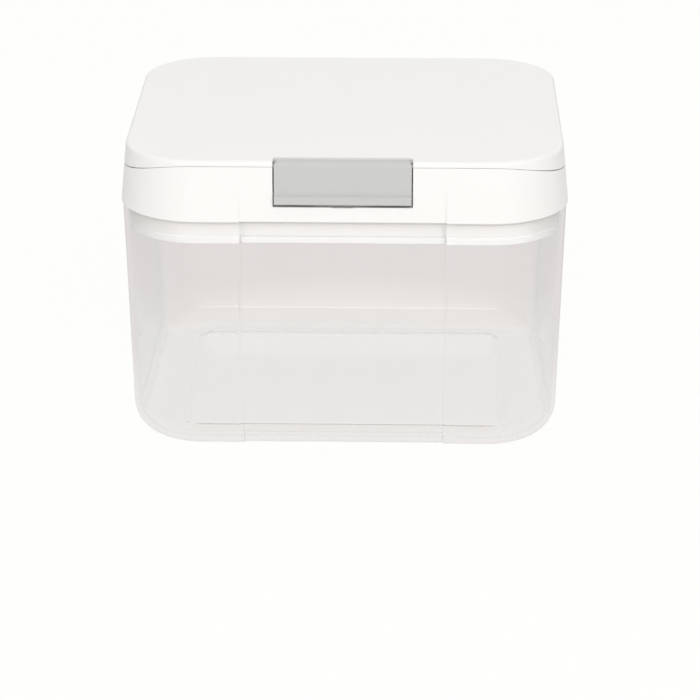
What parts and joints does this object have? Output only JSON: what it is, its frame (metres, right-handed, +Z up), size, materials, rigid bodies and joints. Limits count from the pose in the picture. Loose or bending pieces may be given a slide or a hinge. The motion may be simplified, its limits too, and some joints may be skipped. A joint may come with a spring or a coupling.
{
  "type": "laundry pod container",
  "caption": "Rounded clear bin with a white plug-in collar, a white flip lid hinged at the back and a grey pull-up latch at the front.",
  "frame": {"origin": "on the surface the bin stands on, under the middle of its plan", "axes": "+Z up, the latch faces -Y and the hinges are at +Y, +X to the right when seen from the latch"},
  "size_m": [0.22, 0.1872, 0.152],
  "materials": {
    "clear_plastic": "clear, polished",
    "white_plastic": "white, fine satin gloss",
    "grey_plastic": "warm light grey, satin",
    "silicone": "white, soft and matt",
    "steel": "drawn wire"
  },
  "bodies": {
    "container": {"bin": "clear_plastic", "collar": "white_plastic", "collar_seal": "silicone", "hinge_pin_left": "steel", "hinge_pin_right": "steel"},
    "lid": {"flip_lid": "white_plastic", "lid_gasket": "silicone"},
    "clasp": {"latch": "grey_plastic"}
  },
  "joints": [
    {"name": "lid_hinge", "type": "hinge", "parent": "container", "child": "lid", "pos_m": [0, 0.0911, 0.1409], "axis": [-1, 0, 0], "range_deg": [0, 110]},
    {"name": "latch_hinge", "type": "hinge", "parent": "lid", "child": "clasp", "pos_m": [0, -0.08708, 0.1488], "axis": [-1, 0, 0], "range_deg": [0, 100]}
  ]
}
